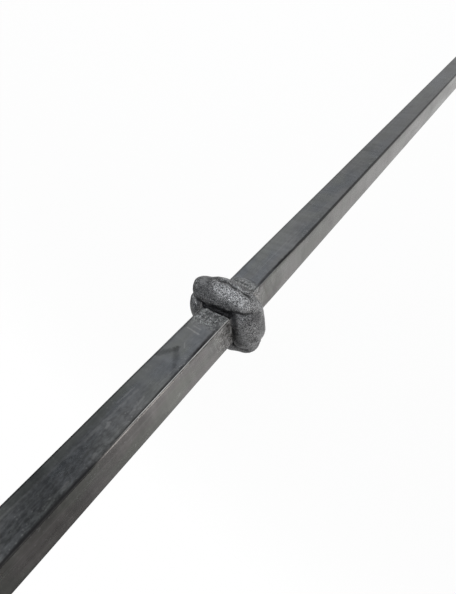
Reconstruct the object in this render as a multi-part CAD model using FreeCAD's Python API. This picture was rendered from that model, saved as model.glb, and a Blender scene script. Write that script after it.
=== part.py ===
# Stair baluster: a solid square bar with a knuckle forged into it, one piece of steel
import FreeCAD, Part
import os
from FreeCAD import Vector

# Driving dimensions, in millimetres. The bar stands on the origin, along +Z.
bar_side = 14.0
bar_length = 1000.0
bar_corner_radius = 1.2
knuckle_height = 500.0      # middle of the knuckle above the foot

# Broad lobes, on the front and back faces: they wrap past both sides of the bar
broad_rise = 10.4           # crown above the face
broad_standoff = 1.2        # widest line above the face
broad_overhang = 8.0        # reach past each side of the bar
broad_length = 12.7         # along the bar
broad_fullness = 0.63       # 0.55 is an ellipse, 1 is nearly square

# Narrow lobes, on the left and right faces, held between the broad ones
narrow_rise = 9.2
narrow_standoff = 1.9
narrow_overhang = 4.6
narrow_length = 15.5
narrow_fullness = 0.74

face = bar_side / 2


def square_bar():
    """The hot-rolled bar, with its rolled corners and its two square-cut ends."""
    bar = Part.makeBox(bar_side, bar_side, bar_length, Vector(-face, -face, 0))
    long_edges = [e for e in bar.Edges if abs(e.tangentAt(e.FirstParameter).z) > 0.5]
    return bar.makeFillet(bar_corner_radius, long_edges)


def lobe(height, reach, length, fullness):
    """A pressed pillow of metal about the origin, with its crown on -Y and its ends on X.

    Half of its outline is turned about X, from the side that the bar hides, and the round
    result is then drawn out along Z.
    """
    quarter = Part.BezierCurve()
    quarter.setPoles([
        Vector(0, height, 0),
        Vector(reach * fullness, height, 0),
        Vector(reach, height * fullness, 0),
        Vector(reach, 0, 0),
    ])
    right = quarter.toShape()
    left = right.mirror(Vector(0, 0, 0), Vector(1, 0, 0))
    axis = Part.makeLine(Vector(-reach, 0, 0), Vector(reach, 0, 0))
    outline = Part.Wire(Part.__sortEdges__([right, left, axis]))
    round_lobe = Part.Face(outline).revolve(Vector(0, 0, 0), Vector(1, 0, 0), 360)
    stretch = FreeCAD.Matrix()
    stretch.scale(1, 1, length / 2 / height)
    return round_lobe.transformGeometry(stretch)


def knuckle():
    """Four lobes, one on each face of the bar, with their widest lines just clear of it."""
    broad = lobe(broad_rise - broad_standoff, face + broad_overhang, broad_length, broad_fullness)
    narrow = lobe(narrow_rise - narrow_standoff, face + narrow_overhang, narrow_length, narrow_fullness)
    lobes = []
    for shape, standoff, turns in ((broad, broad_standoff, (0, 180)), (narrow, narrow_standoff, (90, 270))):
        for turn in turns:
            placed = shape.copy()
            placed.translate(Vector(0, -face - standoff, knuckle_height))
            placed.rotate(Vector(0, 0, 0), Vector(0, 0, 1), turn)
            lobes.append(placed)
    return lobes


baluster = square_bar().fuse(knuckle()).removeSplitter()

os.makedirs("parts", exist_ok=True)
baluster.exportStep("parts/forged_baluster.step")

box = baluster.optimalBoundingBox()
print("forged_baluster", len(baluster.Solids), "solid, valid", baluster.isValid())
print("size", round(box.XLength, 2), round(box.YLength, 2), round(box.ZLength, 2))
print("volume cm3", round(baluster.Volume / 1000, 2))
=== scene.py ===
# Forged iron stair baluster: the raw bar with its hammered knuckle, on a white studio floor
import math
import bpy
from mathutils import Matrix, Vector, noise


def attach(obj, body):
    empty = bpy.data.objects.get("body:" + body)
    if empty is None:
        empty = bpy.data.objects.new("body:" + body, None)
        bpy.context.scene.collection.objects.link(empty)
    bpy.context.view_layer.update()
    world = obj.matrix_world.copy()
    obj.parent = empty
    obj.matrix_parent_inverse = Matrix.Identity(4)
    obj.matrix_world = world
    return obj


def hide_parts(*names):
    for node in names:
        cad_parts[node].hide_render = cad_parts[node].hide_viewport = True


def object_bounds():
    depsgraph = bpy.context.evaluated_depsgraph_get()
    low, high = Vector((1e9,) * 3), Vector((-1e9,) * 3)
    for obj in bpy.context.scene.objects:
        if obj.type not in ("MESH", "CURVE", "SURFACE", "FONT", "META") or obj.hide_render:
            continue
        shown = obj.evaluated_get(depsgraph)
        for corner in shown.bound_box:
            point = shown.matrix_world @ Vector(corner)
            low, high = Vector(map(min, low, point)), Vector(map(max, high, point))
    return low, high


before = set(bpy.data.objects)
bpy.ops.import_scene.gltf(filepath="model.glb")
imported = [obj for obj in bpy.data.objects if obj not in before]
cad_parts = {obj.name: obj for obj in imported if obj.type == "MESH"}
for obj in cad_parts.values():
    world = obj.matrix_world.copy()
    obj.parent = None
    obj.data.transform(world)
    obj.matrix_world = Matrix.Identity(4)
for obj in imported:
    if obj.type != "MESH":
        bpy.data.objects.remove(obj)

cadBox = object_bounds()
bpy.context.scene.view_settings.view_transform = "Standard"


def startClean():
    if bpy.context.mode != "OBJECT":
        bpy.ops.object.mode_set(mode="OBJECT")
    bpy.ops.object.select_all(action="DESELECT")


def activate(obj):
    startClean()
    obj.select_set(True)
    bpy.context.view_layer.objects.active = obj


def applyAll(obj):
    activate(obj)
    bpy.ops.object.transform_apply(location=True, rotation=True, scale=True)


def smoothOver(obj, rounds, group=""):
    activate(obj)
    smooth = obj.modifiers.new("smooth", "SMOOTH")
    smooth.factor = 0.5
    smooth.iterations = rounds
    smooth.vertex_group = group
    bpy.ops.object.modifier_apply(modifier=smooth.name)


def clamp(value, low=0, high=1):
    return min(max(value, low), high)


def fade(value, low, high):
    # 0 up to low, 1 from high on, and a soft step between
    t = clamp((value - low) / (high - low))
    return t * t * (3 - 2 * t)


def bell(value, wide, power=2):
    # 1 at zero, falling away over about one width to each side
    return math.exp(-(value / wide) ** power)


# The bar and its knuckle, in metres
bar = {
    "side": 0.014,
    "corner": 0.0012,
    "cornerSteps": 6,
    "length": 1.0,
    "knuckleAt": 0.5,
    "stub": 0.021,          # worked stretch each side of the knuckle's middle
    "spare": 0.002,         # more of it at each end, cut off once it is worked
    "lengthCuts": 48,       # cuts along each plain half
    "endBevel": 0.0004,     # broken edge of the sawn ends
    "endSteps": 2,
    "voxel": 0.00031,
    "joinRounds": 3,        # smoothing where the lobes join the bar
    "touch": 0.000001,      # points this near to a level lie on it
    "cutTouch": 0.0000001,  # and a cut passes through points this near to it
}
broadLobe = {"rise": 0.0104, "standoff": 0.0012, "overhang": 0.0080, "length": 0.0127, "fullness": 0.63}
narrowLobe = {"rise": 0.0092, "standoff": 0.0019, "overhang": 0.0046, "length": 0.0155, "fullness": 0.74}
lobeMesh = {"outlineSteps": 14, "spinSteps": 72, "merge": 0.00002}


def addLobe(name, lobe, turn):
    # the outline is drawn as a Bezier circle, halved and spun about X
    height = lobe["rise"] - lobe["standoff"]
    reach = bar["side"] / 2 + lobe["overhang"]
    startClean()
    bpy.ops.curve.primitive_bezier_circle_add(radius=1)
    outline = bpy.context.object
    outline.name = name
    outline.data.resolution_u = lobeMesh["outlineSteps"]
    for point in outline.data.splines[0].bezier_points:
        point.handle_left_type = point.handle_right_type = "FREE"
        point.handle_left = point.co + (point.handle_left - point.co).normalized() * lobe["fullness"]
        point.handle_right = point.co + (point.handle_right - point.co).normalized() * lobe["fullness"]
    bpy.ops.object.convert(target="MESH")
    outline.scale = (reach, height, 1)
    applyAll(outline)
    for v in outline.data.vertices:
        v.select = v.co.y < -bar["touch"]
    bpy.ops.object.mode_set(mode="EDIT")
    bpy.ops.mesh.delete(type="VERT")
    bpy.ops.mesh.select_all(action="SELECT")
    bpy.ops.mesh.spin(steps=lobeMesh["spinSteps"], angle=2 * math.pi, center=(0, 0, 0), axis=(1, 0, 0))
    bpy.ops.mesh.select_all(action="SELECT")
    bpy.ops.mesh.remove_doubles(threshold=lobeMesh["merge"])
    bpy.ops.mesh.normals_make_consistent(inside=False)
    bpy.ops.object.mode_set(mode="OBJECT")
    outline.scale = (1, 1, lobe["length"] / 2 / height)    # drawn out along the bar
    applyAll(outline)
    outline.location = (0, -bar["side"] / 2 - lobe["standoff"], bar["knuckleAt"])
    applyAll(outline)
    outline.rotation_euler = (0, 0, math.radians(turn))
    applyAll(outline)
    return outline


def pickEdges(obj, test):
    # edges are picked by their two ends, and edit mode is left open on them
    activate(obj)
    bpy.ops.object.mode_set(mode="EDIT")
    bpy.ops.mesh.select_mode(type="EDGE")
    bpy.ops.mesh.select_all(action="DESELECT")
    bpy.ops.object.mode_set(mode="OBJECT")
    points = obj.data.vertices
    for e in obj.data.edges:
        e.select = test(points[e.vertices[0]].co, points[e.vertices[1]].co)
    bpy.ops.object.mode_set(mode="EDIT")


def addStub():
    # the stretch of square bar that the knuckle is forged on
    startClean()
    bpy.ops.mesh.primitive_cube_add(size=1, location=(0, 0, bar["knuckleAt"]))
    stub = bpy.context.object
    stub.name = "forgedBar"
    stub.scale = (bar["side"], bar["side"], 2 * (bar["stub"] + bar["spare"]))
    applyAll(stub)
    pickEdges(stub, lambda p, q: abs(p.z - q.z) > bar["stub"])
    bpy.ops.mesh.bevel(offset=bar["corner"], segments=bar["cornerSteps"], profile=0.5, affect="EDGES")
    bpy.ops.object.mode_set(mode="OBJECT")
    return stub


def mergeForging(stub, lobes):
    activate(stub)
    for lobe in lobes:
        lobe.select_set(True)
    bpy.ops.object.join()
    stub.data.remesh_voxel_size = bar["voxel"]
    stub.data.use_remesh_fix_poles = False
    stub.data.use_remesh_preserve_volume = True
    bpy.ops.object.voxel_remesh()
    smoothOver(stub, bar["joinRounds"])
    print("forging:", len(stub.data.polygons), "faces")


# Marks of the forging: sizes, heights and depths in metres, and places, levels and widths in millimetres
# from the middle of the knuckle. A spot has a place, a radius and a share of the full height or depth.
forging = {
    "lumpSize": 0.0065,
    "lumpHigh": 0.0006,
    "creaseDeep": 0.00045,
    "creaseFrom": 0.00002,      # hollows this deep begin to be carved
    "creaseFull": 0.00025,      # and hollows this deep are carved in full
    "creaseRounds": 16,
    "shutRounds": 14,
    "swellHigh": 0.0006,
    "swells": [
        ((12.6, -14.0, 1.5), 2.6, 1.0), ((-11.8, 14.2, -1.5), 2.6, 0.3), ((13.2, 12.6, 2.0), 2.2, 0.7),
        ((-2.2, 15.2, 4.0), 3.4, 1.0), ((-7.6, 13.4, 4.6), 3.0, 0.25), ((-10.8, 13.9, 2.6), 2.6, 0.7),
        ((12.4, -4.0, 6.8), 3.6, 0.85), ((-13.4, 8.6, -3.4), 2.4, 0.6), ((-14.2, 4.6, -4.6), 3.0, 0.7),
        ((-7.3, -5.0, 7.2), 1.8, 1.0),
    ],
    "dentDeep": 0.00085,
    "dents": [
        ((-14.6, 4.2, 3.8), 1.2, 1.0), ((-13.6, 4.7, 4.7), 0.9, 0.7), ((7.2, -15.2, -3.0), 2.4, 0.75),
        ((14.9, -4.2, -3.4), 1.5, 0.9), ((5.5, 16.6, 2.2), 1.7, 0.8), ((-7.0, 16.4, -2.4), 1.3, 0.7),
        ((15.6, 2.8, 2.6), 1.4, 0.8), ((-14.6, 9.4, 0.4), 2.4, 0.8), ((13.5, -12.0, -2.0), 2.0, 0.4),
    ],
    # where the broad lobes lap over their neighbours, and the pale edge of the third lap, partly rubbed
    # metal and partly painted highlight
    "lapHigh": 0.0014,
    "laps": [
        ((-11.0, -10.5, 4.5), 2.8, 0.65), ((11.0, 10.5, -4.5), 2.8, 0.5), ((10.0, -8.6, 5.2), 3.0, 1.0),
    ],
    "rim": [(12.6, -8.3, 4.8), (10.3, -7.7, 6.4), (9.5, -7.3, 6.8)],
    "rimWide": 0.5,
    "rimShare": 0.55,
    "foldDeep": 0.0009,         # where two lobes press against each other
    "foldWide": 0.14,           # as a share of the lobes
    "foldShift": 0.42,          # how far a lap carries the fold with it, likewise
    # levels of the groove round the bar and of the bar's lips, by the broad lobes and by the narrow ones
    "grooveAt": (6.2, 7.05),
    "grooveDeep": 0.0010,
    "lipAt": (7.15, 7.8),
    "lipAskew": 0.08,
    "lipWide": 0.3,
    "lipHigh": 0.00022,
    "seamDeep": 0.00080,        # die line along the crowns of the broad lobes
    "seamWide": 0.9,
    "knots": [((-7.4, -7.4, 6.4), 1.7, 1.0)],    # creases meet here and are smoothed over
    "knotRounds": 24,
    "grainSize": 0.0007,
    "grainHigh": 0.00022,
    "grainEnds": (11.0, 16.5),
    "waveSize": 0.035,          # of the plain bar's rolled faces
    "waveHigh": 0.00016,
    "waveStarts": (16, 30),
    "waveEnds": (480, 496),
    "shadeFull": 0.00040,        # hollows this deep get the full painted shade
    "seamShadeWide": 1.1,            # along the die line
    "shadeRounds": 24,
}


def place(co):
    return co.x * 1000, co.y * 1000, (co.z - bar["knuckleAt"]) * 1000


def aboveFace(x, y):
    # height above the bar's faces, in millimetres
    return max(abs(x), abs(y)) - 500 * bar["side"]


def paint(obj, name, weightAt):
    # weights painted by place, for the modifier that follows
    group = obj.vertex_groups.new(name=name)
    for v in obj.data.vertices:
        weight = weightAt(*place(v.co))
        if weight > 0.001:
            group.add([v.index], weight, "REPLACE")
    return group.name


def push(obj, group, amount, texture=None):
    activate(obj)
    displace = obj.modifiers.new(group, "DISPLACE")
    displace.vertex_group = group
    displace.strength = amount
    displace.mid_level = 0.0
    if texture:
        displace.texture = texture
        displace.texture_coords = "LOCAL"
        displace.mid_level = 0.5
    bpy.ops.object.modifier_apply(modifier=displace.name)


def clouds(name, size, depth):
    texture = bpy.data.textures.new(name, "CLOUDS")
    texture.noise_scale = size
    texture.noise_depth = depth
    return texture


def patchy(x, y, z, size, seed):
    return noise.noise(Vector((x / size + seed, y / size - seed, z / size + 2 * seed)))


def uneven(x, y, z, mean, swing, least, seed):
    # a share that comes and goes every few millimetres
    return clamp(mean + swing * patchy(x, y, z, 3.0, seed), least)


def spotWeight(spots):
    def weightAt(x, y, z):
        total = 0
        for at, radius, share in spots:
            total += share * bell((Vector((x, y, z)) - Vector(at)).length, radius)
        return min(total, 1)
    return weightAt


lapWeight = spotWeight(forging["laps"])


def heatWeight(x, y, z):
    return 1 - fade(abs(z) + 2.5 * patchy(x, y, z, 3.5, 4.0), *forging["grainEnds"])


def knuckleWeight(x, y, z):
    return fade(aboveFace(x, y), 0.2, 2.5) * (1 - fade(abs(z), 8, 10))


def plainWeight(x, y, z):
    return fade(abs(z), *forging["waveStarts"]) * (1 - fade(abs(z), *forging["waveEnds"]))


def lipLevel(x, y):
    # the lips by the broad lobes run a little askew
    if abs(x) > abs(y):
        return forging["lipAt"][1]
    return forging["lipAt"][0] + forging["lipAskew"] * math.copysign(1, y) * x


def lipWeight(x, y, z):
    near = 1 - fade(aboveFace(x, y), 0.3, 1.0)
    broken = uneven(x, y, z, 0.75, 0.8, 0, 11.0)
    return near * broken * bell(abs(z) - lipLevel(x, y), forging["lipWide"])


# the pale rim, partly painted highlight
def rimWeight(x, y, z):
    at = Vector((x, y, z))
    gaps = []
    for start, end in zip(forging["rim"], forging["rim"][1:]):
        start, step = Vector(start), Vector(end) - Vector(start)
        along = clamp((at - start).dot(step) / step.length_squared)
        gaps.append((at - start - along * step).length)
    return forging["rimShare"] * bell(min(gaps), forging["rimWide"])


def seamWeight(x, y, z, wide=forging["seamWide"]):
    # a wavering line, arched over one end of each broad lobe and fading out past its middle
    across = x if y < 0 else -x
    along = fade(across, -14.5, -12.5) * (1 - fade(across, 1.0, 3.5))
    broken = uneven(x, y, 0, 0.85, 0.8, 0.45, 3.0)
    level = 0.75 * bell(across + 7, 4) + 0.3 * patchy(x, y, 0, 5.0, 19.0) - 0.45
    return fade(abs(y), 12.0, 13.4) * along * broken * bell(z - level, wide)


def fill(lobe, along, out, z):
    # 1 on a lobe's surface, less inside it: a superellipse through the middle of each Bezier quarter
    height = lobe["rise"] - lobe["standoff"]
    reach = bar["side"] / 2 + lobe["overhang"]
    power = math.log(0.5) / math.log(0.5 + 0.375 * lobe["fullness"])
    drop = abs(out / 1000) - bar["side"] / 2 - lobe["standoff"]
    girth = math.hypot(drop / height, (z / 1000) / (lobe["length"] / 2))
    return (abs(along / 1000) / reach) ** power + girth ** power


def foldWeight(x, y, z):
    # along the line that is on both lobes, pressed nearly shut on the -X side
    broad = fill(broadLobe, x, y, z) - forging["foldShift"] * lapWeight(x, y, z)
    narrow = fill(narrowLobe, y, x, z)
    onBoth = 1 - fade(abs(max(broad, narrow) - 1), 0.15, 0.45)
    if x > 0:
        gape = 1.0
    elif y > 0:
        gape = 0.1
    else:
        gape = 0.15 + 0.55 * fade(abs(z), 1.5, 6.0)
    return uneven(x, y, z, 0.8, 0.9, 0.25, 7.0) * gape * onBoth * bell(broad - narrow, forging["foldWide"])


def grooveWeight(x, y, z):
    near = 1 - fade(aboveFace(x, y), 0.3, 1.7)
    level, share, wide = forging["grooveAt"][1], 0.1, 0.6
    if abs(y) > abs(x):
        level, share, wide = forging["grooveAt"][0], 1 - 0.65 * fade(x, -1.0, 4.0), 0.75
    return near * uneven(x, y, z, 0.75, 0.9, 0.3, 23.0) * share * bell(abs(z) - level, wide, 4)


def shutWeight(x, y, z):
    # one fold is pressed quite shut, and so is the crease along the -X face
    if x < -7.5 and y > 7.5:
        return bell(fill(broadLobe, x, y, z) - fill(narrowLobe, y, x, z), 0.4)
    return (1 - fade(abs(y), 4.5, 6.8)) * bell(x + 7.4, 1.5) * bell(z - 7.2, 1.6)


def creaseShadeWeight(x, y, z):
    # painted shade: thick in the grooves round the bar, thinner up the lobes' flanks and along the die
    # lines
    above = aboveFace(x, y)
    ragged = 0.7 * patchy(x, y, z, 2.0, 31.0)
    if abs(y) > abs(x):
        gap = math.hypot(abs(z) - forging["grooveAt"][0], 0.7 * max(above, 0)) + ragged
        sootAndShade = (1 - fade(gap, 1.0, 3.2)) * (1 - 0.55 * fade(x, 0.5, 5.0) - 0.3 * fade(-x, 3.0, 6.0))
    else:
        gap = math.hypot(abs(z) - forging["grooveAt"][1], 0.8 * (above - 1.6)) + ragged
        sootAndShade = (1 - fade(gap, 0.4, 2.0)) * (0.2 + 0.5 * fade(above, -0.2, 0.8)) * (0.5 if x > 0 else 1.0)
    if above < 0.4:
        sootAndShade *= 1 - fade(abs(z) - lipLevel(x, y), -0.40, -0.15)    # none on the bar, past its lips
    return max(sootAndShade, 0.65 * seamWeight(x, y, z, forging["seamShadeWide"]))


def hollows(obj, rounds):
    # how far each point lies below its smoothed surroundings, in metres
    activate(obj)
    bpy.ops.object.duplicate()
    soft = bpy.context.object
    smoothOver(soft, rounds)
    depths = [(s.co - v.co).dot(v.normal) for v, s in zip(obj.data.vertices, soft.data.vertices)]
    startClean()
    soft.select_set(True)
    bpy.ops.object.delete()
    return depths


def carveCreases(obj):
    group = obj.vertex_groups.new(name="creases")
    for index, depth in enumerate(hollows(obj, forging["creaseRounds"])):
        if depth > forging["creaseFrom"]:
            group.add([index], min(depth / forging["creaseFull"], 1), "REPLACE")
    push(obj, group.name, -forging["creaseDeep"])


def hammer(obj):
    lumps = clouds("lumpCloud", forging["lumpSize"], 1)
    push(obj, paint(obj, "lumps", knuckleWeight), forging["lumpHigh"], lumps)
    carveCreases(obj)
    smoothOver(obj, forging["shutRounds"], paint(obj, "shut", shutWeight))
    for name, weightAt, amount in (
        ("swells", spotWeight(forging["swells"]), forging["swellHigh"]),
        ("dents", spotWeight(forging["dents"]), -forging["dentDeep"]),
        ("folds", foldWeight, -forging["foldDeep"]),
        ("grooves", grooveWeight, -forging["grooveDeep"]),
        ("lips", lipWeight, forging["lipHigh"]),
        ("seams", seamWeight, -forging["seamDeep"]),
    ):
        push(obj, paint(obj, name, weightAt), amount)
    smoothOver(obj, forging["knotRounds"], paint(obj, "knots", spotWeight(forging["knots"])))
    smoothOver(obj, 1)
    grain = clouds("grainCloud", forging["grainSize"], 2)
    push(obj, paint(obj, "grain", heatWeight), forging["grainHigh"], grain)
    print("hammered: lumps, creases, swells, dents, folds, grooves, lips, die lines and grain")


def trueSection(co):
    # nearest point of the rounded square
    half = bar["side"] / 2
    core = half - bar["corner"]
    if abs(co.x) <= core or abs(co.y) <= core:
        if abs(co.x) > abs(co.y):
            return Vector((math.copysign(half, co.x), co.y, co.z))
        return Vector((co.x, math.copysign(half, co.y), co.z))
    centre = Vector((math.copysign(core, co.x), math.copysign(core, co.y), co.z))
    return centre + (co - centre).normalized() * bar["corner"]


def drawOut(obj):
    # both ends of the worked stretch are cut flat and drawn out to the plain bar
    touch = bar["touch"]
    for way, end in ((1, bar["length"]), (-1, 0.0)):
        level = bar["knuckleAt"] + way * bar["stub"]
        activate(obj)
        bpy.ops.object.mode_set(mode="EDIT")
        bpy.ops.mesh.select_all(action="SELECT")
        bpy.ops.mesh.bisect(
            plane_co=(0, 0, level), plane_no=(0, 0, way), clear_outer=True, threshold=bar["cutTouch"])
        bpy.ops.object.mode_set(mode="OBJECT")
        for v in obj.data.vertices:
            if abs(v.co.z - level) < touch:
                v.co = trueSection(v.co)
        pickEdges(obj, lambda p, q: abs(p.z - level) < touch and abs(q.z - level) < touch)
        bpy.ops.mesh.extrude_edges_move(TRANSFORM_OT_translate={"value": (0, 0, end - level)})
        bpy.ops.mesh.edge_face_add()
        pickEdges(obj, lambda p, q: abs(p.z - q.z) > bar["stub"])
        bpy.ops.mesh.subdivide(number_cuts=bar["lengthCuts"])
        pickEdges(obj, lambda p, q: abs(p.z - end) < touch and abs(q.z - end) < touch)
        bpy.ops.mesh.bevel(offset=bar["endBevel"], segments=bar["endSteps"], affect="EDGES")
        bpy.ops.object.mode_set(mode="OBJECT")
    print("drawn out:", len(obj.data.polygons), "faces")


def roll(obj):
    waves = clouds("rollCloud", forging["waveSize"], 1)
    push(obj, paint(obj, "rolled", plainWeight), forging["waveHigh"], waves)
    low, high = (Vector(c) for c in cadBox)
    for v in obj.data.vertices:
        v.co = Vector(clamp(c, l, h) for c, l, h in zip(v.co, low, high))
    print("rolled: faces waved, and kept inside the solid's box")


def markShadeAndLips(obj):
    # kept with the mesh for the steel: painted shade in the hollows, grooves and flanks, and the pale lips
    # and rim, partly rubbed metal and partly painted highlight
    depths = hollows(obj, forging["shadeRounds"])
    places = [place(v.co) for v in obj.data.vertices]
    # painted shade, deeper in hollows and by place along the grooves and flanks
    sootAndShade = [max(min(d / forging["shadeFull"], 1), creaseShadeWeight(*at)) for d, at in zip(depths, places)]
    lips = [max(lipWeight(*at), rimWeight(*at)) for at in places]
    for name, values in (("sootAndShade", sootAndShade), ("lip", lips)):
        mark = obj.data.attributes.new(name, "FLOAT", "POINT")
        mark.data.foreach_set("value", values)


def shadeBaluster(obj):
    # smooth all over, with flat sawn ends
    activate(obj)
    bpy.ops.object.shade_smooth()
    bpy.ops.object.mode_set(mode="EDIT")
    bpy.ops.mesh.select_all(action="SELECT")
    bpy.ops.mesh.normals_make_consistent(inside=False)
    bpy.ops.mesh.select_mode(type="FACE")
    bpy.ops.mesh.select_all(action="DESELECT")
    bpy.ops.object.mode_set(mode="OBJECT")
    for face in obj.data.polygons:
        face.select = min(face.center.z, bar["length"] - face.center.z) < bar["endBevel"]
    bpy.ops.object.mode_set(mode="EDIT")
    bpy.ops.mesh.faces_shade_flat()
    bpy.ops.object.mode_set(mode="OBJECT")


def buildBaluster():
    stub = addStub()
    broads = [addLobe("broad" + str(turn), broadLobe, turn) for turn in (0, 180)]
    for lobe in broads:
        push(lobe, paint(lobe, "laps", lapWeight), forging["lapHigh"])
    narrows = [addLobe("narrow" + str(turn), narrowLobe, turn) for turn in (90, 270)]
    mergeForging(stub, broads + narrows)
    hammer(stub)
    drawOut(stub)
    roll(stub)
    stub.vertex_groups.clear()
    markShadeAndLips(stub)
    shadeBaluster(stub)
    print("baluster:", len(stub.data.vertices), "points")
    return stub


class NodeKit:
    # short ways to add and link shader nodes
    def __init__(self, tree):
        self.nodes, self.links = tree.nodes, tree.links

    def add(self, kind, **values):
        node = self.nodes.new(kind)
        for key, value in values.items():
            setattr(node, key, value)
        return node

    def plug(self, value, socket):
        if hasattr(value, "is_output"):
            self.links.new(value, socket)
        else:
            socket.default_value = value

    def calc(self, op, *values, limit=False):
        node = self.add("ShaderNodeMath", operation=op, use_clamp=limit)
        for socket, v in zip(node.inputs, values):
            self.plug(v, socket)
        return node.outputs[0]

    def times(self, first, *others):
        for v in others:
            first = self.calc("MULTIPLY", first, v)
        return first

    def span(self, value, low, high, toLow=0.0, toHigh=1.0, how="SMOOTHSTEP"):
        node = self.add("ShaderNodeMapRange", interpolation_type=how)
        for socket, v in zip(node.inputs, (value, low, high, toLow, toHigh)):
            self.plug(v, socket)
        return node.outputs[0]

    def blend(self, fac, a, b, how="MIX"):
        node = self.add("ShaderNodeMix", data_type="RGBA", blend_type=how)
        self.plug(fac, node.inputs[0])
        self.plug(a if hasattr(a, "is_output") else (*a, 1), node.inputs[6])
        self.plug(b if hasattr(b, "is_output") else (*b, 1), node.inputs[7])
        return node.outputs[2]

    def vary(self, fac, tone, mask, swing):
        # darker and lighter by a mask, about the tone's own level
        low, high = (0.5 - swing,) * 3, (0.5 + swing,) * 3
        return self.blend(fac, tone, self.blend(mask, low, high), "OVERLAY")

    def stretch(self, vector, scale, shift=(0, 0, 0)):
        node = self.add("ShaderNodeMapping")
        node.inputs["Scale"].default_value = scale
        node.inputs["Location"].default_value = shift
        self.links.new(vector, node.inputs["Vector"])
        return node.outputs[0]

    def cloud(self, vector, scale, detail=3.0):
        node = self.add("ShaderNodeTexNoise")
        node.inputs["Scale"].default_value = scale
        node.inputs["Detail"].default_value = detail
        self.links.new(vector, node.inputs["Vector"])
        return node.outputs[0]


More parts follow.
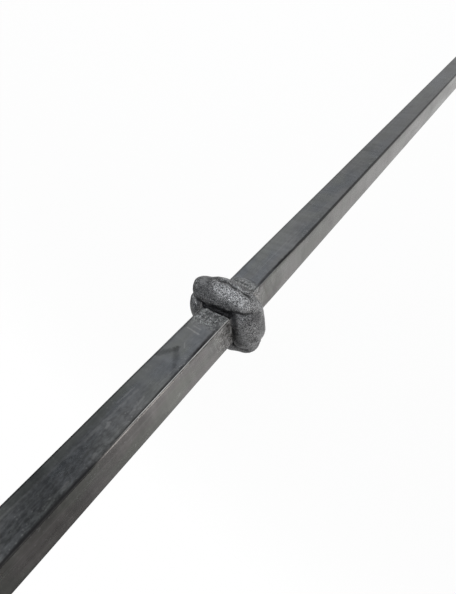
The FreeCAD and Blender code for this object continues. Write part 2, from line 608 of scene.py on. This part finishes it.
# Raw steel: smooth mill scale on the bar, coarse burnt grain round the knuckle
steel = {
    "blue": (0.118, 0.126, 0.137),
    "grey": (0.148, 0.150, 0.153),
    "green": (0.138, 0.144, 0.141),
    "olive": (0.168, 0.168, 0.155),
    "rose": (0.180, 0.168, 0.164),
    "pale": (0.38, 0.38, 0.38),
    "wornAndHighlight": (0.50, 0.50, 0.49),
    "burnt": (0.028, 0.028, 0.030),
    "dust": (0.070, 0.074, 0.074),
    "rust": (0.090, 0.078, 0.070),
    "moss": (0.094, 0.102, 0.094),
    "ash": (0.190, 0.190, 0.192),
    "grain": (0.350, 0.354, 0.356),
    "rubbedAndHighlight": (0.400, 0.402, 0.408),
    "sootAndShade": (0.008, 0.008, 0.009),
    "barMetal": 0.85,
    "knuckleMetal": 0.90,
    "barRough": (0.25, 0.39),
    "sideGloss": 0.05,          # the warmer faces are this much less rough
    "knuckleRough": 0.40,
    "fleckScale": 0.85,
    "satinHigh": 0.05,          # relief of the bar as a share of the knuckle's
    "reliefDeep": 0.00045,
    # noise by the millimetre: scale, detail, stretch and shift
    "clouds": {
        "drift": (0.11, 4.0, (1, 1, 0.3), (0, 0, 0)),
        "greenPatches": (0.10, 3.0, (1, 1, 0.55), (31, 7, 2)),
        "warmTints": (0.13, 3.0, (1, 1, 0.45), (3, 17, 9)),
        "bands": (0.35, 3.0, (0.15, 0.15, 1), (0, 0, 0)),
        "rollLines": (1.0, 2.0, (2.4, 2.4, 0.012), (0, 0, 0)),
        "strips": (1.0, 2.0, (0.45, 0.45, 0.008), (0, 0, 0)),
        "smudges": (0.10, 2.0, (1, 1, 0.6), (5, 11, 23)),
        "mottle": (1.0, 6.0, (1, 1, 0.5), (0, 0, 0)),
        "looseScale": (0.06, 2.0, (1, 1, 1), (0, 0, 0)),
        "upperScale": (0.45, 3.0, (1, 1, 1), (0, 0, 0)),
        "waver": (1.2, 3.0, (1, 1, 1), (0, 0, 0)),
        "ragged": (0.28, 3.0, (1, 1, 1), (0, 0, 0)),
        "coarseGrain": (2.3, 2.0, (1, 1, 1), (0, 0, 0)),
        "fineGrain": (4.6, 2.0, (1, 1, 1), (0, 0, 0)),
        "burntMottle": (0.9, 2.0, (1, 1, 1), (0, 0, 0)),
        "cornerWear": (0.4, 3.0, (1, 1, 0.15), (0, 0, 0)),
        "cornerBlots": (0.5, 3.0, (1, 1, 0.5), (0, 0, 0)),
        "cornerDashes": (0.9, 2.0, (1, 1, 0.4), (0, 0, 0)),
        "sawStrokes": (1.0, 3.0, (0.10, 2.2, 0.0), (0, 0, 0)),
        "satin": (1.4, 3.0, (1, 1, 0.25), (0, 0, 0)),
    },
    # scratches and stains, and a few broad strokes of painted shade and painted light, in millimetres
    # across and along a face: from, to, width, tone, strength
    "frontMarks": [
        ((4.2, 18.9), (-1.7, 19.7), 0.55, "pale", 0.30), ((2.6, 17.1), (-0.8, 17.4), 0.45, "pale", 0.22),
        ((0.2, 25.6), (-1.2, 27.6), 0.35, "pale", 0.20), ((5.4, 34.6), (0.9, 29.3), 1.8, "sootAndShade", 0.38),
        ((0.9, 29.3), (-3.4, 35.5), 1.8, "sootAndShade", 0.34), ((-3.4, 35.5), (-5.7, 40.0), 1.2, "sootAndShade", 0.16),
        ((4.9, 52.0), (4.4, 104.0), 2.6, "moss", 0.50), ((0.5, 50.0), (3.4, 102.0), 0.7, "pale", 0.18),
        ((2.2, 50.0), (2.8, 57.0), 0.4, "pale", 0.22), ((0.5, 62.0), (1.2, 72.5), 0.4, "pale", 0.18),
        ((-0.4, 64.0), (-1.0, 65.6), 0.9, "pale", 0.34), ((-4.7, 73.6), (-5.0, 75.0), 0.8, "pale", 0.34),
        ((-4.5, 84.2), (-4.9, 86.2), 0.9, "pale", 0.30), ((-3.2, 51.0), (-3.9, 58.0), 0.6, "pale", 0.18),
        ((4.0, -13.2), (-2.5, -12.4), 0.7, "sootAndShade", 0.40), ((2.0, -16.4), (-4.0, -15.2), 0.6, "sootAndShade", 0.30),
        ((3.6, -14.8), (-1.0, -14.0), 0.5, "pale", 0.18), ((4.5, -20.5), (-2.0, -19.0), 1.2, "sootAndShade", 0.16),
        # the broad dark strokes from 88 and 90 to 124 mm, here and two lines on, are painted shade
        # darkening the face towards its upper end
        ((3.0, -20.0), (-3.0, -24.0), 5.0, "sootAndShade", 0.10), ((-1.0, 90.0), (-1.0, 124.0), 7.0, "sootAndShade", 0.24),
        # the pale stroke at 7.7 mm is painted highlight along the lip
        ((4.6, 7.7), (1.0, 7.7), 0.5, "pale", 0.35), ((-3.2, 56.0), (-3.2, 84.0), 5.0, "pale", 0.09),
        ((4.8, 88.0), (4.8, 124.0), 4.0, "sootAndShade", 0.16),
    ],
    "sideMarks": [
        ((-6.0, 11.0), (-6.0, 14.5), 1.2, "pale", 0.20), ((-6.3, 9.4), (-0.8, 8.7), 0.6, "sootAndShade", 0.55),
        ((-3.6, 18.0), (0.6, 17.2), 0.6, "pale", 0.16), ((-3.2, 20.4), (0.4, 19.6), 0.6, "pale", 0.14),
        ((2.0, 39.5), (2.4, 40.1), 0.7, "pale", 0.35), ((-5.5, -17.5), (2.0, -19.5), 0.8, "rust", 0.35),
        ((-5.0, -22.0), (4.0, -25.0), 1.0, "dust", 0.25), ((-2.0, -34.0), (1.0, -46.0), 7.0, "pale", 0.15),
        # the 14 mm wide pale stroke from -225 to -340 mm is painted light, lightening that stretch of the
        # face
        ((-3.2, 17.0), (-2.4, 21.0), 4.0, "pale", 0.09), ((0.0, -225.0), (0.0, -340.0), 14.0, "pale", 0.08),
    ],
    # burnt and rubbed places on the knuckle, many of them painted shade on the lobes' flanks and in their
    # joins and painted highlight near the crowns: middle, radius, tone, strength
    "knuckleStainsAndShade": [
        ((6.0, -15.0, 3.4), 4.4, "burnt", 0.38), ((0.6, -13.6, 5.4), 2.8, "burnt", 0.36),
        ((12.0, -10.6, 3.8), 2.6, "burnt", 0.40), ((-5.0, -11.0, 5.7), 3.4, "burnt", 0.42),
        ((-8.2, -10.0, 5.6), 2.6, "burnt", 0.22), ((-14.6, 4.2, 3.8), 1.4, "burnt", 0.30),
        ((-13.7, -10.0, -2.7), 1.5, "rubbedAndHighlight", 0.35), ((-14.3, 6.6, 3.4), 1.8, "rubbedAndHighlight", 0.25),
        ((-13.0, 5.4, 5.3), 1.3, "rubbedAndHighlight", 0.25), ((-3.6, 12.4, 5.8), 1.8, "burnt", 0.60),
        ((8.4, -12.6, 4.4), 4.0, "burnt", 0.34), ((10.0, -14.8, -2.0), 3.4, "rubbedAndHighlight", 0.32),
        ((8.1, -7.4, 6.6), 1.6, "burnt", 0.55), ((-7.5, -7.4, 6.5), 1.9, "burnt", 0.85),
        ((-14.0, -7.8, 4.0), 3.6, "burnt", 0.54), ((-15.4, -6.6, 0.8), 3.8, "burnt", 0.58),
        ((-16.6, -0.6, -1.4), 5.0, "burnt", 0.50), ((4.6, -16.8, 0.2), 4.2, "burnt", 0.08),
        ((-12.6, -1.6, 6.6), 3.4, "rubbedAndHighlight", 0.22), ((-12.8, 2.6, 6.4), 3.0, "rubbedAndHighlight", 0.22),
        ((-9.3, 6.0, 7.0), 3.0, "burnt", 0.75), ((9.2, -8.9, 5.7), 2.4, "burnt", 0.50),
        ((-3.2, -12.4, 5.5), 3.2, "burnt", 0.24), ((8.2, -15.6, 1.8), 2.4, "rubbedAndHighlight", 0.22),
        ((-0.6, -16.9, 1.7), 2.2, "burnt", 0.32), ((3.4, -13.5, 5.2), 2.2, "burnt", 0.25),
        ((-11.0, -12.2, 4.2), 2.6, "rubbedAndHighlight", 0.18), ((-13.2, 10.4, 2.8), 2.6, "rubbedAndHighlight", 0.30),
        ((-11.4, -8.7, 5.7), 2.4, "burnt", 0.45), ((-3.0, -16.2, -2.4), 3.4, "burnt", 0.34),
        ((-8.0, -15.2, -2.6), 3.4, "burnt", 0.30),
    ],
}


def steelPlaces(kit):
    # where a point lies, in millimetres from the middle of the knuckle
    coords = kit.add("ShaderNodeTexCoord").outputs["Object"]
    mm = kit.stretch(coords, (1000, 1000, 1000), (0, 0, -1000 * bar["knuckleAt"]))
    split = kit.add("ShaderNodeSeparateXYZ")
    kit.links.new(mm, split.inputs[0])
    x, y, z = split.outputs
    ax, ay, az = (kit.calc("ABSOLUTE", v) for v in (x, y, z))
    lean = kit.calc("SUBTRACT", ax, ay)
    return {
        "mm": mm, "x": x, "y": y, "z": z, "az": az,
        "out": kit.calc("MAXIMUM", ax, ay),
        "corner": kit.calc("MINIMUM", ax, ay),       # 5.8 to 6.65 round the bar's corners
        "lean": lean,                                # below 0 towards the broad lobes' faces
        "side": kit.span(lean, -0.6, 0.6),           # 1 on the two faces that carry the narrow lobes
        "plain": kit.span(az, 7.6, 8.6),             # 0 within the knuckle
    }


def steelCloud(kit, at, name):
    scale, detail, stretch, shift = steel["clouds"][name]
    return kit.cloud(kit.stretch(at["mm"], stretch, shift), scale, detail)


def millScale(kit, at):
    # bluer on the faces that carry the broad lobes; the other two are painted warmer and lighter, as
    # painted light for how those faces catch the light
    drift = steelCloud(kit, at, "drift")
    tone = kit.blend(kit.span(drift, 0.33, 0.66), steel["blue"], steel["grey"])
    patches = kit.span(steelCloud(kit, at, "greenPatches"), 0.44, 0.66, 0.0, 0.8)
    tone = kit.blend(patches, tone, steel["green"])
    tints = kit.span(steelCloud(kit, at, "warmTints"), 0.38, 0.60)
    # painted light: the faces with the narrow lobes made lighter and warmer
    tone = kit.blend(kit.times(at["side"], 0.85), tone, kit.blend(tints, steel["olive"], steel["rose"]))
    tone = kit.vary(0.45, tone, steelCloud(kit, at, "bands"), 0.3)
    rolls = kit.span(steelCloud(kit, at, "rollLines"), 0.60, 0.74, 0.0, 0.18)
    tone = kit.blend(rolls, tone, steel["pale"])
    tone = kit.vary(kit.span(at["z"], 30.0, 80.0, 0.2, 0.6), tone, steelCloud(kit, at, "strips"), 0.25)
    smudges = kit.span(steelCloud(kit, at, "smudges"), 0.55, 0.68, 0.0, 0.20)
    tone = kit.blend(smudges, tone, steel["sootAndShade"])

    # mottled towards the upper end, on the blue faces most
    where = kit.times(kit.span(at["z"], 42.0, 75.0, 0.2, 0.9), kit.span(at["z"], 100.0, 190.0, 1.0, 0.3))
    where = kit.times(where, kit.span(at["side"], 0.0, 1.0, 1.0, 0.2))
    where = kit.times(where, kit.span(at["x"], -2.0, 5.0, 1.0, 0.35))
    tone = kit.vary(where, tone, kit.span(steelCloud(kit, at, "mottle"), 0.34, 0.66), 0.18)

    # flecks of loose scale, thickest by the corners
    flecks = kit.add("ShaderNodeTexVoronoi")
    flecks.inputs["Scale"].default_value = steel["fleckScale"]
    kit.links.new(at["mm"], flecks.inputs["Vector"])
    dots = kit.span(flecks.outputs["Distance"], 0.12, 0.32, 1.0, 0.0)
    thick = kit.span(steelCloud(kit, at, "looseScale"), 0.46, 0.62)
    thick = kit.times(thick, kit.span(at["corner"], 2.0, 6.2, 0.2, 1.0))
    upper = kit.times(kit.span(at["z"], 45.0, 60.0), kit.span(at["z"], 100.0, 150.0, 1.0, 0.0))
    upper = kit.times(upper, kit.span(at["x"], 0.0, 3.0, 1.0, 0.0))
    upper = kit.times(upper, kit.span(steelCloud(kit, at, "upperScale"), 0.50, 0.60))
    thick = kit.calc("MAXIMUM", thick, kit.times(upper, 0.8))
    return kit.blend(kit.times(dots, thick, 0.45), tone, steel["pale"]), drift


def burntGrain(kit, at, tone):
    # full on the knuckle, gone about a bar's width past it
    ragged = kit.calc("MULTIPLY_ADD", steelCloud(kit, at, "ragged"), 8.0, -4.0)
    burnt = kit.span(kit.calc("ADD", at["az"], ragged), 11.5, 17.5, 1.0, 0.0)
    coarse = kit.times(steelCloud(kit, at, "coarseGrain"), 0.65)
    fine = kit.times(steelCloud(kit, at, "fineGrain"), 0.35)
    speck = kit.calc("ADD", coarse, fine)
    dusty = kit.span(at["out"], 7.3, 8.6, 1.0, 0.0)      # paler where the bar's own faces are burnt
    darks = kit.blend(dusty, steel["burnt"], kit.blend(at["side"], steel["dust"], steel["rust"]))

    # painted highlight on the grain: paler near each lobe's crown, most towards one end of the lobe and
    # fading towards the other end and down towards the bar
    swing = kit.calc("DIVIDE", kit.calc("MULTIPLY", at["x"], at["y"]), at["out"])
    swing = kit.calc("ADD", swing, kit.calc("MULTIPLY_ADD", kit.calc("MAXIMUM", at["az"], 3.5), -2.0, 8.8))
    least = kit.times(at["side"], kit.span(at["x"], -2.0, 2.0, 0.8, 0.3))
    swing = kit.span(swing, -4.2, 2.2, least, 1.0)
    lower = kit.times(at["side"], kit.span(at["x"], -2.0, 2.0, 1.0, 0.0))    # lower down on the -X lobe
    low = kit.calc("MULTIPLY_ADD", lower, -2.5, 11.0)
    high = kit.calc("MULTIPLY_ADD", lower, -1.8, 14.8)
    crownHighlight = kit.times(swing, kit.span(at["out"], low, high))
    pale = kit.blend(crownHighlight, kit.blend(dusty, steel["ash"], steel["grain"]), steel["rubbedAndHighlight"])
    grainy = kit.blend(kit.span(speck, 0.40, 0.60), darks, pale)
    mottle = kit.span(steelCloud(kit, at, "burntMottle"), 0.36, 0.64)
    grainy = kit.vary(kit.times(dusty, 0.9), grainy, mottle, 0.26)

    # spots of painted shade and painted highlight, with the burnt and rubbed places
    for middle, radius, shade, strength in steel["knuckleStainsAndShade"]:
        gap = kit.add("ShaderNodeVectorMath", operation="DISTANCE")
        gap.inputs[1].default_value = middle
        kit.links.new(at["mm"], gap.inputs[0])
        gap = kit.calc("MULTIPLY_ADD", ragged, 0.25, gap.outputs["Value"])
        stain = kit.span(gap, 0.3 * radius, radius, strength, 0.0)
        grainy = kit.blend(stain, grainy, steel[shade])
    return kit.blend(burnt, tone, grainy), speck, burnt


def marksAndPaintedLight(kit, at, tone):
    # each mark is a wavering stroke along a line on one face
    waver = kit.calc("MULTIPLY_ADD", steelCloud(kit, at, "waver"), 1.2, -0.6)
    for across, face, marks in ((at["x"], at["y"], "frontMarks"), (at["y"], at["x"], "sideMarks")):
        onFace = kit.span(face, -6.8, -6.6, 1.0, 0.0)
        for (u0, v0), (u1, v1), wide, shade, strength in steel[marks]:
            du, dv = u1 - u0, v1 - v0
            square = du * du + dv * dv
            along = kit.calc("MULTIPLY_ADD", across, du / square, -(u0 * du + v0 * dv) / square)
            along = kit.calc("MULTIPLY_ADD", at["z"], dv / square, along, limit=True)
            gapU = kit.calc("MULTIPLY_ADD", along, -du, kit.calc("SUBTRACT", across, u0))
            gapV = kit.calc("MULTIPLY_ADD", along, -dv, kit.calc("SUBTRACT", at["z"], v0))
            gap = kit.calc("SQRT", kit.calc("MULTIPLY_ADD", gapU, gapU, kit.calc("MULTIPLY", gapV, gapV)))
            gap = kit.calc("MULTIPLY_ADD", waver, wide, gap)
            stroke = kit.times(kit.span(gap, 0.2 * wide, wide, 1.0, 0.0), onFace, strength)
            tone = kit.blend(stroke, tone, steel[shade])
    return tone


def cornerLines(kit, at, tone):
    lean = at["lean"]
    near = kit.times(kit.span(at["corner"], 4.6, 5.2), at["plain"])
    wear = steelCloud(kit, at, "cornerWear")
    head = kit.span(at["z"], 56.0, 80.0)
    foot = kit.span(at["z"], -60.0, -20.0, 1.0, 0.0)

    # painted shadow: a dark line on the blue faces beside each corner, standing for the shadow of a rolled
    # fin, moved onto the corner's rounding towards the upper end as painted shade over its reflection, and
    # blotted by the knuckle
    blots = kit.calc("MULTIPLY_ADD", steelCloud(kit, at, "cornerBlots"), 3.0, -1.5)
    blots = kit.times(blots, kit.span(at["az"], 22.0, 55.0, 1.0, 0.15))
    outer = kit.calc("MULTIPLY_ADD", kit.span(at["z"], 25.0, 45.0), -0.7, lean)
    outer = kit.calc("MULTIPLY_ADD", foot, -0.7, outer)
    inner = kit.calc("MULTIPLY_ADD", foot, -1.0, lean)
    inner = kit.calc("MULTIPLY_ADD", head, -1.3, inner)
    wide = kit.span(kit.calc("ADD", outer, blots), -2.2, -1.1)
    edgeShadow = kit.times(wide, kit.span(inner, -0.42, -0.18, 1.0, 0.0), near)
    edgeShadow = kit.times(edgeShadow, kit.span(at["az"], 10.0, 17.0, 0.3, 1.0))
    faint = kit.calc("MULTIPLY_ADD", foot, 0.4, 0.45)
    edgeShadow = kit.times(edgeShadow, kit.span(wear, 0.30, 0.60, faint, 0.95), kit.span(at["x"], -3.0, 3.0, 1.0, 0.4))
    tone = kit.blend(edgeShadow, tone, steel["sootAndShade"])

    # two of the four corners are painted dark all along, painted shade over their edge reflection
    shadedCorners = kit.span(kit.calc("MULTIPLY", at["x"], at["y"]), -10.0, 10.0, 1.0, 0.0)
    shadedCorners = kit.times(kit.span(at["corner"], 5.5, 6.0), shadedCorners, at["plain"])
    tone = kit.blend(kit.times(shadedCorners, 0.55), tone, steel["sootAndShade"])

    # beside the dark line, a nicked and rubbed edge along the upper half, its pale line partly painted
    # highlight
    upper = kit.times(kit.span(at["z"], -20.0, 9.0, 0.05, 1.0), kit.span(at["z"], 46.0, 74.0, 1.0, 0.0))
    dashes = kit.span(steelCloud(kit, at, "cornerDashes"), 0.44, 0.54)
    nicks = kit.times(kit.span(lean, 0.22, 0.36), kit.span(lean, 0.60, 0.80, 1.0, 0.0), near, upper, dashes)
    tone = kit.blend(kit.times(nicks, 0.6), tone, steel["sootAndShade"])
    edge = kit.span(kit.calc("ABSOLUTE", kit.calc("ADD", lean, 0.06)), 0.10, 0.28, 1.0, 0.0)
    rubbedAndHighlight = kit.times(edge, near, upper, kit.span(wear, 0.34, 0.56, 0.35, 1.0))
    return kit.blend(rubbedAndHighlight, tone, steel["wornAndHighlight"])


def shadedCreases(kit, at, tone):
    # painted shade in the creases, and pale lips that are partly painted highlight, as they are marked on
    # the mesh
    near = kit.span(at["az"], 12.0, 15.0, 1.0, 0.0)
    sootAndShade = kit.add("ShaderNodeAttribute", attribute_name="sootAndShade").outputs["Fac"]
    tone = kit.blend(kit.times(kit.span(sootAndShade, 0.10, 0.85), near, 0.97), tone, steel["sootAndShade"])
    lip = kit.add("ShaderNodeAttribute", attribute_name="lip").outputs["Fac"]
    return kit.blend(kit.times(kit.span(lip, 0.30, 0.75), near, 0.75), tone, steel["wornAndHighlight"])


def sawnEnds(kit, at, tone):
    # bare metal with the marks of the saw
    strokes = kit.span(steelCloud(kit, at, "sawStrokes"), 0.30, 0.70)
    sawn = kit.blend(strokes, steel["ash"], steel["rubbedAndHighlight"])
    return kit.blend(kit.span(at["az"], 499.7, 499.9), tone, sawn)


def buildSteel():
    mat = bpy.data.materials.new("rawSteel")
    mat.use_nodes = True
    kit = NodeKit(mat.node_tree)
    shader = kit.nodes["Principled BSDF"]
    at = steelPlaces(kit)
    tone, drift = millScale(kit, at)
    tone, speck, burnt = burntGrain(kit, at, tone)
    tone = marksAndPaintedLight(kit, at, tone)
    tone = cornerLines(kit, at, tone)
    tone = shadedCreases(kit, at, tone)
    kit.plug(sawnEnds(kit, at, tone), shader.inputs["Base Color"])

    rough = kit.span(drift, 0.3, 0.7, *steel["barRough"])
    rough = kit.calc("MULTIPLY_ADD", at["side"], -steel["sideGloss"], rough)
    kit.plug(kit.span(burnt, 0.0, 1.0, rough, steel["knuckleRough"]), shader.inputs["Roughness"])
    metal = kit.span(burnt, 0.0, 1.0, steel["barMetal"], steel["knuckleMetal"])
    kit.plug(metal, shader.inputs["Metallic"])

    # relief: sandy on the knuckle, faint satin on the bar
    satin = kit.times(steelCloud(kit, at, "satin"), steel["satinHigh"])
    bump = kit.add("ShaderNodeBump")
    bump.inputs["Strength"].default_value = 1.0
    bump.inputs["Distance"].default_value = steel["reliefDeep"]
    kit.plug(kit.calc("MULTIPLY_ADD", speck, burnt, satin), bump.inputs["Height"])
    kit.plug(bump.outputs[0], shader.inputs["Normal"])
    print("steel:", len(kit.nodes), "nodes")
    return mat


studio = {
    "floorSize": 60.0,
    "floorTone": (0.9, 0.9, 0.9),
    "floorRough": 0.9,
    "floorGlow": (0.94, 1.0),    # share of plain white in the floor, by the foot and far off
    "glowReach": (0.4, 2.5),     # how near and how far that is
    "ambient": 0.35,
    "lamps": [
        # name, place, aim, size, watts, colour
        ("keyPanel", (0.54, -0.79, 1.22), (0, 0, 0.5), 0.32, 16.0, (0.95, 0.98, 1.0)),
        ("sidePanel", (-1.2, 0.35, 0.15), (0, 0, 0.2), 0.9, 6.0, (1.0, 0.97, 0.92)),
    ],
    # black and grey cards that only the steel mirrors: middle, size, tilt from lying flat, turn, shade
    "cards": [
        ((0.235, -0.355, 0.61), (0.60, 0.30), 90, 33.5, 0.06),
        ((0.235, -0.355, 0.41), (0.60, 0.10), 90, 33.5, 0.62),
        ((-0.235, 0.355, 0.62), (0.60, 0.20), 90, 33.5, 0.22),
        ((-0.235, 0.355, 0.47), (0.60, 0.10), 90, 33.5, 0.52),
        ((0.415, 0.35, 0.98), (0.63, 1.16), 0, 0.0, 0.01),
        ((-0.165, 0.525, 0.98), (0.53, 0.81), 0, 0.0, 0.01),
        ((0.50, 0.06, 0.52), (0.50, 0.40), 90, 97.0, 0.01),
        ((0.80, 0.85, 0.002), (0.90, 0.90), 0, 45.0, 0.05),
        ((0.11, -0.165, 0.002), (0.34, 0.36), 0, 33.5, 0.6),
    ],
}


def seen(kit):
    # 1 for rays that show the background itself or its reflection
    path = kit.add("ShaderNodeLightPath").outputs
    total = path["Is Camera Ray"]
    for name in ("Is Glossy Ray", "Is Transmission Ray"):
        total = kit.calc("MAXIMUM", total, path[name])
    return total


def buildFloor():
    startClean()
    bpy.ops.mesh.primitive_plane_add(size=studio["floorSize"], location=(0, 0, 0))
    floor = bpy.context.object
    floor.name = "studioFloor"
    mat = bpy.data.materials.new("whiteFloor")
    mat.use_nodes = True
    kit = NodeKit(mat.node_tree)
    shader = kit.nodes["Principled BSDF"]
    shader.inputs["Base Color"].default_value = (*studio["floorTone"], 1)
    shader.inputs["Roughness"].default_value = studio["floorRough"]
    away = kit.add("ShaderNodeVectorMath", operation="LENGTH")
    kit.plug(kit.add("ShaderNodeTexCoord").outputs["Object"], away.inputs[0])
    whiter = kit.span(away.outputs["Value"], *studio["glowReach"], *studio["floorGlow"], how="LINEAR")
    mix = kit.add("ShaderNodeMixShader")
    kit.plug(kit.times(seen(kit), whiter), mix.inputs[0])
    kit.plug(shader.outputs[0], mix.inputs[1])
    kit.plug(kit.add("ShaderNodeEmission").outputs[0], mix.inputs[2])
    kit.plug(mix.outputs[0], kit.nodes["Material Output"].inputs["Surface"])
    floor.data.materials.append(mat)


def buildSurround():
    world = bpy.data.worlds.new("studio")
    bpy.context.scene.world = world
    world.use_nodes = True
    kit = NodeKit(world.node_tree)
    back = kit.nodes["Background"]
    back.inputs["Color"].default_value = (1, 1, 1, 1)
    level = kit.span(seen(kit), 0.0, 1.0, studio["ambient"], 1.0, how="LINEAR")
    kit.plug(level, back.inputs["Strength"])


def addLamps():
    for name, at, aim, size, watts, colour in studio["lamps"]:
        bpy.ops.object.light_add(type="AREA", location=at)
        lamp = bpy.context.object
        lamp.name = name
        lamp.data.size = size
        lamp.data.energy = watts
        lamp.data.color = colour
        lamp.rotation_euler = (Vector(aim) - Vector(at)).to_track_quat("-Z", "Y").to_euler()


def addCards():
    for at, (wide, high), tilt, turn, shade in studio["cards"]:
        bpy.ops.mesh.primitive_plane_add(size=1, location=at)
        card = bpy.context.object
        card.name = "studioCard"
        card.scale = (wide, high, 1)
        card.rotation_euler = (math.radians(tilt), 0, math.radians(turn))
        paper = bpy.data.materials.new("cardPaper")
        paper.use_nodes = True
        kit = NodeKit(paper.node_tree)
        glow = kit.add("ShaderNodeEmission")
        glow.inputs["Color"].default_value = (shade, shade, shade, 1)
        kit.plug(glow.outputs[0], kit.nodes["Material Output"].inputs["Surface"])
        card.data.materials.append(paper)
        card.visible_camera = card.visible_diffuse = card.visible_shadow = card.visible_transmission = False


def buildStudio():
    buildFloor()
    buildSurround()
    addLamps()
    addCards()
    print("studio: floor, surround,", len(studio["lamps"]), "panels and", len(studio["cards"]), "cards")


# The photograph's view: place, directions of the frame, and lens in millimetres
camera = {
    "at": (-0.08464, -0.12456, 0.60201),
    "right": (-0.8185, 0.0892, -0.5675),
    "up": (0.3205, -0.7489, -0.5800),
    "back": (-0.4767, -0.6566, 0.5844),
    "sensor": 36,
    "lens": 27.27,
    "nearest": 0.005,
}


def buildCamera():
    startClean()
    bpy.ops.object.camera_add()
    eye = bpy.context.object
    eye.name = "photoCamera"
    turn = Matrix((camera["right"], camera["up"], camera["back"])).transposed()
    eye.matrix_world = Matrix.Translation(camera["at"]) @ turn.to_4x4()
    eye.data.sensor_width = camera["sensor"]
    eye.data.lens = camera["lens"]
    eye.data.clip_start = camera["nearest"]
    bpy.context.scene.camera = eye
    print("camera:", camera["lens"], "mm lens")


buildCamera()
buildStudio()
baluster = buildBaluster()
baluster.data.materials.clear()
baluster.data.materials.append(buildSteel())
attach(baluster, "root")
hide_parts("forged_baluster")
